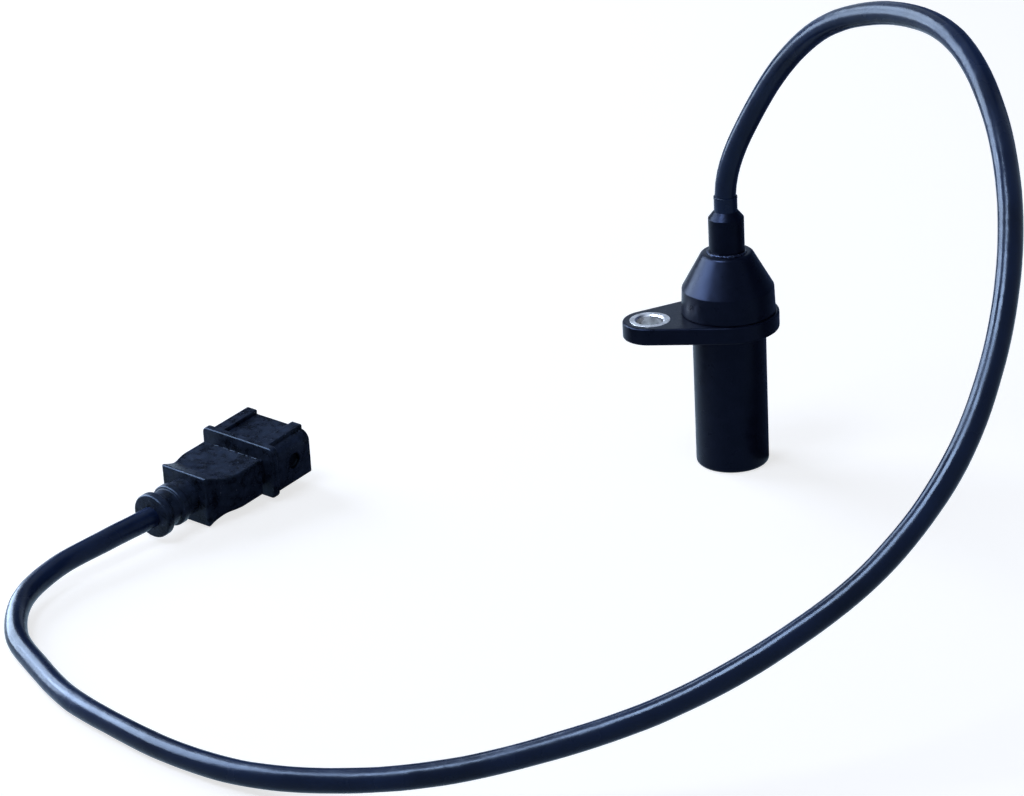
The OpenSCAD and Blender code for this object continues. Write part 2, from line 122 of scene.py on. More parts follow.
# Plug: stations along its axis from the lip's rear face, and sizes across it
LIP_W = 14.3
LIP_H = 13.6
LIP_SLOPE = 5.6
LIP_BLEND = 1.4
LIP_SIDE = 1.4
LIP_EDGE_R = 0.75
GRIP_LEN = 17.8
GRIP_W = 18.5
GRIP_TOP = 4.4
GRIP_BOTTOM = -5.1
GRIP_MID = (GRIP_TOP + GRIP_BOTTOM) / 2
GRIP_EDGE_R = 0.3
GRIP_CORNER_R = 0.45
SIDE_BEND_LEN = 9.6
BOOT_LEN = 12.1
BOOT_RING_R = 5.6
BOOT_MID_RING_R = 5.25
BOOT_NECK_R = 4.6
BOOT_RING_LEN = 2.4
BOOT_EDGE_R = 0.5
BOOT_EDGE_SHARE = 0.8
BOOT_ROOT_R = 0.2
CABLE_DEPTH = 2.0
ROOM_W = 13.0
ROOM_H = 5.1
ROOM_LAP = 0.2
NECK_X = 12.0
NECK_W = 15.8
NECK_H = 6.8
COLLAR_X = 19.7
COLLAR_T = 2.0
COLLAR_W = 22.6
COLLAR_H = 13.8
COLLAR_R = 1.4
SOCKET_X = COLLAR_X + COLLAR_T
SOCKET_LAP = 0.3
MOUTH_X = SOCKET_X + 12.4
FLOOR_X = SOCKET_X + 1.8
SOCKET_W = 22.0
SOCKET_H = 11.6
SOCKET_WALL = 1.6
SOCKET_TOP_R = 2.7
SOCKET_LOW_R = 0.6
RIB_W = 3.2
RIB_SPAN = 17.7
RIB_LAP = 0.5
RIB_SETBACK = 0.02
DIMPLE_X = MOUTH_X - 6.1
DIMPLE_R = 2.2
DIMPLE_DEPTH = 1.0
DIMPLE_LIP = 0.25
DIMPLE_FLOOR_R = 0.5
DIMPLE_EDGE_R = 0.2
BLADE_PITCH = 5.0
BLADE_W = 2.8
BLADE_T = 0.8

# Mould flash on the grip's front edge: each run's left and right end, and its section
FLASH_RUNS = [(5.3, 3.9), (2.6, 0.9), (0.3, -1.3), (-2.2, -4.2), (-4.7, -5.6), (-6.6, -8.3)]
FLASH_BACK = 0.5
FLASH_FRONT = 0.2
FLASH_H = 0.5
FLASH_DROP = 0.02

# The plug's place: it lies turned, tipped up and rolled a little
PLUG_YAW = 41.9
PLUG_PITCH = 3.5
PLUG_ROLL = 3.4
PLUG_PLACE = Vector((-0.1355, 0.003, 0.0072991))
PLUG = (Matrix.Translation(PLUG_PLACE)
        @ Matrix.Rotation(math.radians(PLUG_YAW), 4, "Z")
        @ Matrix.Rotation(math.radians(-PLUG_PITCH), 4, "Y")
        @ Matrix.Rotation(math.radians(PLUG_ROLL), 4, "X"))
PLUG_AXIS = (PLUG.to_3x3() @ Vector((1, 0, 0))).normalized()

# Cable: its route from inside the gland to inside the plug's grip
CABLE_D = 0.0052
LIE = 0.0027
CABLE_ROUTE = [
    (0, 0, 0.058), (0, 0, 0.0655), (0, 0, 0.0695), (0.0075, -0.0065, 0.0945), (0.017, -0.024, 0.115),
    (0.0265, -0.0475, 0.1245), (0.0325, -0.073, 0.126), (0.033, -0.1015, 0.1165), (0.0285, -0.125, 0.0995),
    (0.0195, -0.1425, 0.081), (0.007, -0.155, 0.0635), (-0.0115, -0.1635, 0.047), (-0.034, -0.167, 0.034),
    (-0.056, -0.1655, 0.0235), (-0.078, -0.1605, 0.0155), (-0.0995, -0.153, 0.009),
    (-0.1195, -0.144, 0.0055), (-0.1365, -0.1325, 0.0035), (-0.15, -0.118, LIE), (-0.161, -0.102, LIE),
    (-0.17, -0.086, LIE), (-0.1755, -0.0695, LIE), (-0.1795, -0.0525, 0.003), (-0.177, -0.036, 0.004),
    (-0.1685, -0.0235, 0.005), (-0.1555, -0.0135, 0.006),
    PLUG_PLACE - PLUG_AXIS * BOOT_LEN * MM, PLUG_PLACE + PLUG_AXIS * CABLE_DEPTH * MM,
]
CABLE_STEPS = 10
CABLE_SIDES = 40
SWELL = 0.0003
SWELL_SCALE = 75.0

# Fineness of the meshes
ROUND_SIDES = 160
ARC_STEPS = 72
CORNER_STEPS = 6
EDGE_STEPS = 4
LIP_EDGE_STEPS = 6
GRIP_STATIONS = 36
TURN_SIDES = 56
WIRE_SIDES = 6
LEAST_R = 0.05
ON_AXIS = 1e-6
WELD = 1e-7
STRAIGHT = math.radians(0.05)
CREASE = 40
BEAD_CREASE = 60

# Camera
IMAGE_W = 1024
CAMERA_AT = Vector((-0.18038, -0.72939, 0.33012))
CAMERA_HEADING = -9.78
CAMERA_TILT = 22.495
CAMERA_ROLL = 3.22
FOCAL_PX = 3300.0
SENSOR_W = 36.0
SIGHT = 20


def add_object(name, data):
    """A new object in the scene."""
    obj = bpy.data.objects.new(name, data)
    bpy.context.scene.collection.objects.link(obj)
    return obj


def add_camera():
    """The photograph's viewpoint: a long lens, tilted down and rolled a little."""
    heading, tilt, roll = (math.radians(a) for a in (CAMERA_HEADING, CAMERA_TILT, CAMERA_ROLL))
    ahead = Vector((-math.sin(heading) * math.cos(tilt), math.cos(heading) * math.cos(tilt), -math.sin(tilt)))
    level = ahead.cross(Vector((0, 0, 1))).normalized()
    upright = level.cross(ahead)
    right = level * math.cos(roll) - upright * math.sin(roll)
    up = level * math.sin(roll) + upright * math.cos(roll)
    data = bpy.data.cameras.new("viewpoint")
    data.sensor_fit = "HORIZONTAL"
    data.sensor_width = SENSOR_W
    data.lens = SENSOR_W * FOCAL_PX / IMAGE_W
    data.clip_end = SIGHT
    camera = add_object("viewpoint", data)
    camera.matrix_world = Matrix((right, up, -ahead)).transposed().to_4x4()
    camera.location = CAMERA_AT
    bpy.context.scene.camera = camera


# Outlines and meshes
def fillet(before, corner, after, radius):
    """Points of an arc of that radius in the corner between two neighbours."""
    u, v = (before - corner).normalized(), (after - corner).normalized()
    half = math.acos(max(-1, min(1, u.dot(v)))) / 2
    centre = corner + (u + v).normalized() * radius / math.sin(half)
    start = corner + u * radius / math.tan(half) - centre
    turn = start.angle_signed(corner + v * radius / math.tan(half) - centre)
    return [centre + Matrix.Rotation(-turn * k / CORNER_STEPS, 2) @ start for k in range(CORNER_STEPS + 1)]


def outline(corners):
    """A closed outline of corners (x, y) or, where they are rounded, (x, y, radius)."""
    flat = [Vector(c[:2]) for c in corners]
    points = []
    for i, corner in enumerate(corners):
        if len(corner) == 2:
            points.append(flat[i])
        else:
            points += fillet(flat[i - 1], flat[i], flat[(i + 1) % len(flat)], corner[2])
    return points


def rod(radius, low, high):
    """The outline of a plain round bar about Z, as (radius, height)."""
    return [(0, low), (radius, low), (radius, high), (0, high)]


def rounded_rect(width, height, top_r, low_r, mid=0.0):
    """The outline of a rectangle with round corners, about (0, mid)."""
    w, h = width / 2, height / 2
    return outline([(-w, mid - h, low_r), (w, mid - h, low_r), (w, mid + h, top_r), (-w, mid + h, top_r)])


def edge_rounding(radius, steps=EDGE_STEPS):
    """Pairs of inset and depth that round an edge, from the end face to the side."""
    return [(radius * (1 - math.sin(t)), radius * (1 - math.cos(t)))
            for t in (math.pi / 2 * k / steps for k in range(steps + 1))]


def make_mesh(name, points, faces, place=None):
    """A mesh object from points in millimetres, with its faces turned outwards."""
    mesh = bpy.data.meshes.new(name)
    mesh.from_pydata([Vector(p) * MM for p in points], [], faces)
    shape = bmesh.new()
    shape.from_mesh(mesh)
    bmesh.ops.recalc_face_normals(shape, faces=shape.faces)
    shape.to_mesh(mesh)
    shape.free()
    if place is not None:
        mesh.transform(place)
    return add_object(name, mesh)


def turned(name, corners, segments=ROUND_SIDES, place=None):
    """A solid of revolution about Z, from an outline of (radius, height)."""
    points, rows, faces = [], [], []
    for r, z in outline(corners):
        if r < ON_AXIS:
            rows.append([len(points)] * segments)
            points.append((0, 0, z))
        else:
            rows.append(list(range(len(points), len(points) + segments)))
            points += [(r * math.cos(a), r * math.sin(a), z)
                       for a in (math.tau * k / segments for k in range(segments))]
    for low, high in zip(rows, rows[1:] + rows[:1]):
        for k in range(segments):
            n = (k + 1) % segments
            face = list(dict.fromkeys((low[k], low[n], high[n], high[k])))
            if len(face) > 2:
                faces.append(face)
    return make_mesh(name, points, faces, place)


def loft(name, rings, place=None):
    """A closed skin over rings of equally many points."""
    count = len(rings[0])
    points = [p for ring in rings for p in ring]
    faces = []
    for low in range(0, len(points) - count, count):
        high = low + count
        for k in range(count):
            n = (k + 1) % count
            faces.append((low + k, low + n, high + n, high + k))
    faces += [tuple(range(count)), tuple(range(len(points) - count, len(points)))]
    return make_mesh(name, points, faces, place)


def bar(name, x0, x1, width, height, top_r, low_r, edge, at=(0, 0)):
    """A bar along the plug's axis with a rounded section and rounded ends, its middle at (y, z)."""
    ends = edge_rounding(edge)
    stations = [(x0 + depth, inset) for inset, depth in ends]
    stations += [(x1 - depth, inset) for inset, depth in reversed(ends)]
    rings = []
    for x, inset in stations:
        section = rounded_rect(width - 2 * inset, height - 2 * inset,
                               max(top_r - inset, LEAST_R), max(low_r - inset, LEAST_R))
        rings.append([(x, at[0] + y, at[1] + z) for y, z in section])
    return loft(name, rings, PLUG)


def as_mesh(obj):
    """Replaces an object's mesh by what its modifiers make of it."""
    view = bpy.context.evaluated_depsgraph_get()
    made = bpy.data.meshes.new_from_object(obj.evaluated_get(view))
    obj.modifiers.clear()
    obj.data = made
    return obj


def drop_spare_points(obj):
    """Removes points that a join or a cut leaves doubled, or in the middle of a straight edge."""
    shape = bmesh.new()
    shape.from_mesh(obj.data)
    bmesh.ops.remove_doubles(shape, verts=shape.verts, dist=WELD)
    spare = [v for v in shape.verts if len(v.link_edges) == 2 and v.calc_edge_angle(math.pi) < STRAIGHT]
    bmesh.ops.dissolve_verts(shape, verts=spare)
    shape.to_mesh(obj.data)
    shape.free()


def combine(base, operation, tools):
    """Joins the tools to the base, or cuts them out of it, and removes them."""
    for tool in tools:
        step = base.modifiers.new(operation, "BOOLEAN")
        step.operation = operation
        step.solver = "EXACT"
        step.object = tool
    drop_spare_points(as_mesh(base))
    for tool in tools:
        bpy.data.objects.remove(tool)


def smooth_shade(obj, angle=CREASE):
    """Smooth faces with crisp edges, weighted so that flat faces stay flat."""
    obj.data.shade_smooth()
    obj.data.set_sharp_from_angle(angle=math.radians(angle))
    weight = obj.modifiers.new("weighted", "WEIGHTED_NORMAL")
    weight.keep_sharp = True
    return as_mesh(obj)


def dress(obj, node, material):
    """Lets a finished piece stand for its solid."""
    obj.data.materials.clear()
    obj.data.materials.append(material)
    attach(obj, "root")
    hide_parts(node)
    return obj


# Geometry Nodes
def new_tree(name, inputs):
    """An empty tree with a geometry socket at both ends and the named inputs."""
    tree = bpy.data.node_groups.new(name, "GeometryNodeTree")
    tree.interface.new_socket("Geometry", in_out="INPUT", socket_type="NodeSocketGeometry")
    for label, kind in inputs:
        tree.interface.new_socket(label, in_out="INPUT", socket_type=kind)
    tree.interface.new_socket("Geometry", in_out="OUTPUT", socket_type="NodeSocketGeometry")
    return tree, tree.nodes.new("NodeGroupInput"), tree.nodes.new("NodeGroupOutput")


def run_tree(obj, tree, **values):
    """Runs a tree on an object with its inputs set, and keeps the plain mesh."""
    step = obj.modifiers.new(tree.name, "NODES")
    step.node_group = tree
    for socket in tree.interface.items_tree:
        label = socket.name.lower().replace(" ", "_")
        if socket.in_out == "INPUT" and label in values:
            step[socket.identifier] = values[label]
    return as_mesh(obj)


def swept_tube_tree():
    """A round tube along a line, with a faint swell along its length."""
    tree, start, end = new_tree("swept_tube", [
        ("Radius", "NodeSocketFloat"), ("Sides", "NodeSocketInt"), ("Swell", "NodeSocketFloat"),
        ("Swell Scale", "NodeSocketFloat"), ("Material", "NodeSocketMaterial")])
    noise_mean = 0.5
    line = tree.nodes.new("GeometryNodeMeshToCurve")
    ring = tree.nodes.new("GeometryNodeCurvePrimitiveCircle")
    sweep = tree.nodes.new("GeometryNodeCurveToMesh")
    sweep.inputs["Fill Caps"].default_value = True
    spread = tree.nodes.new("ShaderNodeTexNoise")
    middle = tree.nodes.new("ShaderNodeMath")
    middle.operation = "SUBTRACT"
    middle.inputs[1].default_value = noise_mean
    height = tree.nodes.new("ShaderNodeMath")
    height.operation = "MULTIPLY"
    outward = tree.nodes.new("GeometryNodeInputNormal")
    offset = tree.nodes.new("ShaderNodeVectorMath")
    offset.operation = "SCALE"
    swell = tree.nodes.new("GeometryNodeSetPosition")
    shade = tree.nodes.new("GeometryNodeSetShadeSmooth")
    realize = tree.nodes.new("GeometryNodeRealizeInstances")
    paint = tree.nodes.new("GeometryNodeSetMaterial")
    link = tree.links.new
    link(start.outputs["Geometry"], line.inputs["Mesh"])
    link(start.outputs["Radius"], ring.inputs["Radius"])
    link(start.outputs["Sides"], ring.inputs["Resolution"])
    link(line.outputs["Curve"], sweep.inputs["Curve"])
    link(ring.outputs["Curve"], sweep.inputs["Profile Curve"])
    link(start.outputs["Swell Scale"], spread.inputs["Scale"])
    link(spread.outputs["Fac"], middle.inputs[0])
    link(middle.outputs[0], height.inputs[0])
    link(start.outputs["Swell"], height.inputs[1])
    link(outward.outputs["Normal"], offset.inputs[0])
    link(height.outputs[0], offset.inputs["Scale"])
    link(sweep.outputs["Mesh"], swell.inputs["Geometry"])
    link(offset.outputs["Vector"], swell.inputs["Offset"])
    link(swell.outputs["Geometry"], shade.inputs["Geometry"])
    link(shade.outputs["Geometry"], realize.inputs["Geometry"])
    link(realize.outputs["Geometry"], paint.inputs["Geometry"])
    link(start.outputs["Material"], paint.inputs["Material"])
    link(paint.outputs["Geometry"], end.inputs["Geometry"])
    return tree


def wire_turns_tree():
    """Rings of wire stacked along Z round the winding's core."""
    tree, start, end = new_tree("wire_turns", [
        ("Turns", "NodeSocketInt"), ("Pitch", "NodeSocketVector"), ("First", "NodeSocketVector"),
        ("Turn Radius", "NodeSocketFloat"), ("Wire Radius", "NodeSocketFloat"),
        ("Material", "NodeSocketMaterial")])
    stack = tree.nodes.new("GeometryNodeMeshLine")
    turn = tree.nodes.new("GeometryNodeCurvePrimitiveCircle")
    turn.inputs["Resolution"].default_value = TURN_SIDES
    wire = tree.nodes.new("GeometryNodeCurvePrimitiveCircle")
    wire.inputs["Resolution"].default_value = WIRE_SIDES
    sweep = tree.nodes.new("GeometryNodeCurveToMesh")
    place = tree.nodes.new("GeometryNodeInstanceOnPoints")
    shade = tree.nodes.new("GeometryNodeSetShadeSmooth")
    realize = tree.nodes.new("GeometryNodeRealizeInstances")
    join = tree.nodes.new("GeometryNodeJoinGeometry")
    paint = tree.nodes.new("GeometryNodeSetMaterial")
    link = tree.links.new
    link(start.outputs["Turns"], stack.inputs["Count"])
    link(start.outputs["First"], stack.inputs["Start Location"])
    link(start.outputs["Pitch"], stack.inputs["Offset"])
    link(start.outputs["Turn Radius"], turn.inputs["Radius"])
    link(start.outputs["Wire Radius"], wire.inputs["Radius"])
    link(turn.outputs["Curve"], sweep.inputs["Curve"])
    link(wire.outputs["Curve"], sweep.inputs["Profile Curve"])
    link(sweep.outputs["Mesh"], shade.inputs["Geometry"])
    link(stack.outputs["Mesh"], place.inputs["Points"])
    link(shade.outputs["Geometry"], place.inputs["Instance"])
    link(place.outputs["Instances"], realize.inputs["Geometry"])
    link(start.outputs["Geometry"], join.inputs["Geometry"])
    link(realize.outputs["Geometry"], join.inputs["Geometry"])
    link(join.outputs["Geometry"], paint.inputs["Geometry"])
    link(start.outputs["Material"], paint.inputs["Material"])
    link(paint.outputs["Geometry"], end.inputs["Geometry"])
    return tree


# Materials
def colour(r, g, b):
    """A colour with full alpha."""
    return (r, g, b, 1.0)


WHITE = colour(1, 1, 1)
COOL = colour(0.45, 0.56, 1.0)
PLUG_TINT = colour(0.6, 0.75, 1)
PLUG_DARK = colour(0.001, 0.0015, 0.0035)
PLUG_LIGHT = colour(0.022, 0.03, 0.056)
PLUG_SCRATCH = colour(0.02, 0.026, 0.045)
# Pale specks on the plug: partly dirt, partly painted glints
PLUG_DUST_AND_GLINT = colour(0.14, 0.16, 0.22)
# Painted shade: the near-black colour put inside the detent dimples
PLUG_DIMPLE_SHADE = colour(0.0003, 0.0004, 0.0008)
PLUG_ROUGH = (0.22, 0.4)
PLUG_SPECULAR = 0.12
SHEATH_TINT = colour(0.8, 0.88, 1)
SHEATH_DARK = colour(0.0036, 0.0084, 0.028)
SHEATH_LIGHT = colour(0.0098, 0.019, 0.055)
SHEATH_ROUGH = (0.16, 0.32)
SHEATH_SPECULAR = 0.13
RESIN = colour(0.004, 0.005, 0.011)
# Pale specks in the resin: partly dirt, partly painted glints
RESIN_DUST_AND_GLINT = colour(0.12, 0.14, 0.2)
RESIN_ROUGH = (0.2, 0.45)
RESIN_SPECULAR = 0.35
COPPER_DARK = colour(0.5, 0.19, 0.07)
COPPER_LIGHT = colour(0.68, 0.3, 0.13)
COPPER_ROUGH = (0.25, 0.4)

# Parts of a noise's range that make soft clouds and gentle changes, and the Mix node's colour sockets
CLOUDY = (0.35, 0.65)
GENTLE = (0.3, 0.7)
MIX_FIRST = 6
MIX_SECOND = 7
MIX_RESULT = 2


class Finish:
    """A material on the Principled shader, with short calls for the textures that drive it."""

    def __init__(self, name, **sockets):
        self.material = bpy.data.materials.new(name)
        self.material.use_nodes = True
        self.tree = self.material.node_tree
        self.shader = self.tree.nodes["Principled BSDF"]
        for label, value in sockets.items():
            self.shader.inputs[label.replace("_", " ")].default_value = value
        self.coords = self.tree.nodes.new("ShaderNodeTexCoord").outputs["Object"]

    def link(self, source, target):
        """Joins an output to an input."""
        self.tree.links.new(source, target)

    def noise(self, scale, detail, stretch=(1, 1, 1), turn=(0, 0, 0), roughness=0.5):
        """Noise of so many lumps per metre, squeezed along its axes by stretch."""
        mapping = self.tree.nodes.new("ShaderNodeMapping")
        mapping.inputs["Scale"].default_value = stretch
        mapping.inputs["Rotation"].default_value = turn
        self.link(self.coords, mapping.inputs["Vector"])
        texture = self.tree.nodes.new("ShaderNodeTexNoise")
        texture.inputs["Scale"].default_value = scale
        texture.inputs["Detail"].default_value = detail
        texture.inputs["Roughness"].default_value = roughness
        self.link(mapping.outputs["Vector"], texture.inputs["Vector"])
        return texture.outputs["Fac"]

    def spread(self, value, low, high, to_low=0.0, to_high=1.0):
        """A value stretched from one range to another, kept within it."""
        step = self.tree.nodes.new("ShaderNodeMapRange")
        for label, number in (("From Min", low), ("From Max", high), ("To Min", to_low), ("To Max", to_high)):
            step.inputs[label].default_value = number
        self.link(value, step.inputs["Value"])
        return step.outputs["Result"]

    def weaken(self, value, most):
        """A value from 0 to 1, brought down to so much at most."""
        return self.spread(value, 0, 1, 0, most)

    def mix(self, share, first, second):
        """Two colours, or colour outputs, mixed by a share."""
        step = self.tree.nodes.new("ShaderNodeMix")
        step.data_type = "RGBA"
        self.link(share, step.inputs["Factor"])
        for socket, value in ((step.inputs[MIX_FIRST], first), (step.inputs[MIX_SECOND], second)):
            if isinstance(value, bpy.types.NodeSocket):
                self.link(value, socket)
            else:
                socket.default_value = value
        return step.outputs[MIX_RESULT]

    def math(self, operation, first, second=None):
        """One step of arithmetic on one or two outputs."""
        step = self.tree.nodes.new("ShaderNodeMath")
        step.operation = operation
        self.link(first, step.inputs[0])
        if second is not None:
            self.link(second, step.inputs[1])
        return step.outputs[0]

    def paint(self, output, label):
        """Lets an output drive one of the shader's inputs."""
        self.link(output, self.shader.inputs[label])

    def bumps(self, *layers):
        """Bump layers of (height output, depth in metres), one upon the other."""
        below = None
        for height, depth in layers:
            step = self.tree.nodes.new("ShaderNodeBump")
            step.inputs["Distance"].default_value = depth
            self.link(height, step.inputs["Height"])
            if below is not None:
                self.link(below, step.inputs["Normal"])
            below = step.outputs["Normal"]
        self.link(below, self.shader.inputs["Normal"])


def moulded_plastic(name, dark, light, rough, grain_depth, specular):
    """Dark moulded plastic: cloudy colour, uneven sheen and a fine grain."""
    finish = Finish(name, Specular_IOR_Level=specular, Specular_Tint=COOL)
    clouds = finish.noise(260, detail=4)
    dull_patches = finish.noise(420, detail=5)
    grain = finish.noise(9000, detail=2)
    sink_marks = finish.noise(140, detail=2)
    finish.paint(finish.mix(finish.spread(clouds, *CLOUDY), dark, light), "Base Color")
    finish.paint(finish.spread(dull_patches, *GENTLE, *rough), "Roughness")
    finish.bumps((grain, grain_depth), (sink_marks, 0.00003))
    return finish.material


def painted_dimple_shade(finish):
    """1 inside the socket's two detent dimples, where shade is painted into the colour, and 0 elsewhere."""
    place = finish.tree.nodes.new("ShaderNodeMapping")
    place.vector_type = "TEXTURE"
    place.inputs["Location"].default_value = PLUG @ Vector((DIMPLE_X * MM, 0, 0))
    place.inputs["Rotation"].default_value = PLUG.to_euler()
    finish.link(finish.coords, place.inputs["Vector"])
    axes = finish.tree.nodes.new("ShaderNodeSeparateXYZ")
    finish.link(place.outputs["Vector"], axes.inputs["Vector"])
    x, y, z = (axes.outputs[axis] for axis in "XYZ")
    squares = finish.math("ADD", finish.math("MULTIPLY", x, x), finish.math("MULTIPLY", z, z))
    radius = finish.math("SQRT", squares)
    inside = finish.spread(radius, (DIMPLE_R - DIMPLE_LIP) * MM, DIMPLE_R * MM, 1, 0)
    wall = SOCKET_W / 2 * MM
    below = finish.spread(finish.math("ABSOLUTE", y), wall - DIMPLE_LIP * MM, wall - SLIP * MM, 1, 0)
    return finish.math("MULTIPLY", inside, below)


def scuffed_plastic(name):
    """The plug's plastic: mottled slate, fine scratches, pale specks of dirt and painted glint, painted shade
    in its dimples.
    """
    finish = Finish(name, Specular_IOR_Level=PLUG_SPECULAR, Specular_Tint=PLUG_TINT)
    across = (0, 0, math.radians(-PLUG_YAW))
    mottle = finish.spread(finish.noise(360, detail=8, roughness=0.7), 0.35, 0.67)
    streaks = finish.noise(900, detail=3, stretch=(1, 14, 14), turn=across)
    scratches = finish.spread(streaks, 0.62, 0.72)
    specks = finish.spread(finish.noise(2200, detail=1), 0.72, 0.78)
    grain = finish.noise(8000, detail=2)
    pits = finish.noise(450, detail=5)
    sink_marks = finish.noise(160, detail=2)
    base = finish.mix(mottle, PLUG_DARK, PLUG_LIGHT)
    scuffed = finish.mix(finish.weaken(scratches, 0.4), base, PLUG_SCRATCH)
    # Pale specks: partly dirt, partly painted glints
    with_dust_and_glints = finish.mix(finish.weaken(specks, 0.7), scuffed, PLUG_DUST_AND_GLINT)
    # Painted shade: the detent dimples are darkened in the base colour
    finish.paint(finish.mix(painted_dimple_shade(finish), with_dust_and_glints, PLUG_DIMPLE_SHADE), "Base Color")
    finish.paint(finish.spread(mottle, 0, 1, *PLUG_ROUGH), "Roughness")
    finish.bumps((grain, 0.00003), (scratches, 0.00001), (pits, 0.00016), (sink_marks, 0.0001))
    return finish.material


def glossy_sheath():
    """The cable's sheath: navy-black and shiny, with dulled patches and a slightly uneven skin."""
    finish = Finish("glossy_sheath", Specular_IOR_Level=SHEATH_SPECULAR, Specular_Tint=SHEATH_TINT)
    clouds = finish.noise(60, detail=4)
    dull_patches = finish.noise(90, detail=4)
    grain = finish.noise(2500, detail=2)
    dents = finish.noise(350, detail=3)
    waves = finish.noise(100, detail=2)
    finish.paint(finish.mix(finish.spread(clouds, *CLOUDY), SHEATH_DARK, SHEATH_LIGHT), "Base Color")
    finish.paint(finish.spread(dull_patches, *GENTLE, *SHEATH_ROUGH), "Roughness")
    finish.bumps((grain, 0.000006), (dents, 0.00006), (waves, 0.0003))
    return finish.material


def poured_resin():
    """The sealing bead: shiny black resin with pale specks in it, partly dirt and partly painted glints."""
    finish = Finish("poured_resin", Specular_IOR_Level=RESIN_SPECULAR, Specular_Tint=COOL)
    # Pale specks: partly dirt, partly painted glints
    dust_and_glint_specks = finish.spread(finish.noise(1500, detail=2), 0.6, 0.72)
    dull_patches = finish.noise(900, detail=3)
    pimples = finish.noise(1100, detail=3)
    waves = finish.noise(420, detail=2)
    finish.paint(finish.mix(dust_and_glint_specks, RESIN, RESIN_DUST_AND_GLINT), "Base Color")
    finish.paint(finish.spread(dull_patches, *GENTLE, *RESIN_ROUGH), "Roughness")
    finish.bumps((pimples, 0.00025), (waves, 0.0001))
    return finish.material


def turned_metal(name, dark, light, rough):
    """Turned metal: fine rings across Z, a cloudy tone and small dents."""
    finish = Finish(name, Metallic=1.0)
    clouds = finish.noise(500, detail=4)
    dull_patches = finish.noise(700, detail=4)
    rings = finish.noise(6000, detail=2, stretch=(0.04, 0.04, 1))
    dents = finish.noise(900, detail=3)
    finish.paint(finish.mix(finish.spread(clouds, *CLOUDY), dark, light), "Base Color")
    finish.paint(finish.spread(dull_patches, *GENTLE, *rough), "Roughness")
    finish.bumps((rings, 0.00001), (dents, 0.00002))
    return finish.material


def plain_plastic(name, dark, light, rough):
    """Plain moulded or drawn plastic with a little unevenness."""
    finish = Finish(name)
    clouds = finish.noise(600, detail=4)
    dull_patches = finish.noise(900, detail=3)
    grain = finish.noise(5000, detail=2)
    finish.paint(finish.mix(finish.spread(clouds, *CLOUDY), dark, light), "Base Color")
    finish.paint(finish.spread(dull_patches, *GENTLE, *rough), "Roughness")
    finish.bumps((grain, 0.00002))
    return finish.material


def enamelled_copper():
    """Lacquered copper wire."""
    finish = Finish("enamelled_copper", Metallic=1.0, Coat_Weight=0.6, Coat_Roughness=0.2)
    clouds = finish.noise(800, detail=4)
    dull_patches = finish.noise(1500, detail=3)
    grain = finish.noise(6000, detail=2)
    finish.paint(finish.mix(finish.spread(clouds, *GENTLE), COPPER_DARK, COPPER_LIGHT), "Base Color")
    finish.paint(finish.spread(dull_patches, *GENTLE, *COPPER_ROUGH), "Roughness")
    finish.bumps((grain, 0.00001))
    return finish.material


housing_plastic = moulded_plastic(
    "housing_plastic", dark=colour(0.0022, 0.003, 0.0078), light=colour(0.004, 0.0052, 0.0125),
    rough=(0.26, 0.36), grain_depth=0.000012, specular=0.1)
gland_plastic = moulded_plastic(
    "gland_plastic", dark=colour(0.0018, 0.0026, 0.007), light=colour(0.003, 0.0042, 0.011),
    rough=(0.25, 0.36), grain_depth=0.000015, specular=0.08)
grip_plastic = scuffed_plastic("grip_plastic")
shell_plastic = scuffed_plastic("shell_plastic")
sheath = glossy_sheath()
resin = poured_resin()
zinc_steel = turned_metal("zinc_steel", colour(0.36, 0.33, 0.32), colour(0.66, 0.62, 0.6), (0.2, 0.42))
soft_iron = turned_metal("soft_iron", colour(0.3, 0.3, 0.31), colour(0.42, 0.42, 0.43), (0.35, 0.5))
magnet_alloy = turned_metal("magnet_alloy", colour(0.2, 0.2, 0.21), colour(0.3, 0.3, 0.32), (0.4, 0.55))
tinned_brass = turned_metal("tinned_brass", colour(0.6, 0.6, 0.58), colour(0.76, 0.75, 0.72), (0.2, 0.34))
copper = enamelled_copper()
bobbin_plastic = plain_plastic(
    "bobbin_plastic", colour(0.7, 0.66, 0.55), colour(0.8, 0.77, 0.68), (0.4, 0.55))
white_core = plain_plastic("white_core", colour(0.74, 0.74, 0.7), colour(0.82, 0.82, 0.79), (0.3, 0.42))
brown_core = plain_plastic("brown_core", colour(0.13, 0.055, 0.025), colour(0.19, 0.085, 0.04), (0.3, 0.42))
drain_core = plain_plastic("drain_core", colour(0.4, 0.4, 0.4), colour(0.52, 0.52, 0.52), (0.3, 0.42))


# Cable
def heading(points, i):
    """Direction of the smooth route at its point i."""
    if i == 0:
        return (points[1] - points[0]).normalized()
    if i == len(points) - 1:
        return (points[i] - points[i - 1]).normalized()
    before, after = points[i] - points[i - 1], points[i + 1] - points[i]
    b, a = before.length, after.length
    return (before * a / b + after * b / a) / (a + b)


def smooth_route(route, steps):
    """A smooth line through the route's points, with so many steps from each to the next."""
    points = [Vector(p) for p in route]
    line = []
    for i in range(len(points) - 1):
        p, q = points[i], points[i + 1]
        d = (q - p).length
        m, n = heading(points, i) * d, heading(points, i + 1) * d
        for k in range(steps):
            t = k / steps
            line.append((2 * t**3 - 3 * t**2 + 1) * p + (t**3 - 2 * t**2 + t) * m
                        + (3 * t**2 - 2 * t**3) * q + (t**3 - t**2) * n)
    return line + [points[-1]]


def sheathed_cable():
    """The cable, swept along its route, and the line that it follows."""
    line = smooth_route(CABLE_ROUTE, CABLE_STEPS)
    mesh = bpy.data.meshes.new("sheathed_cable")
    mesh.from_pydata(line, [(i, i + 1) for i in range(len(line) - 1)], [])
    cable = add_object("sheathed_cable", mesh)
    run_tree(cable, swept_tube_tree(), radius=CABLE_D / 2, sides=CABLE_SIDES, swell=SWELL,
             swell_scale=SWELL_SCALE, material=sheath)
    return dress(cable, "cable", sheath), line


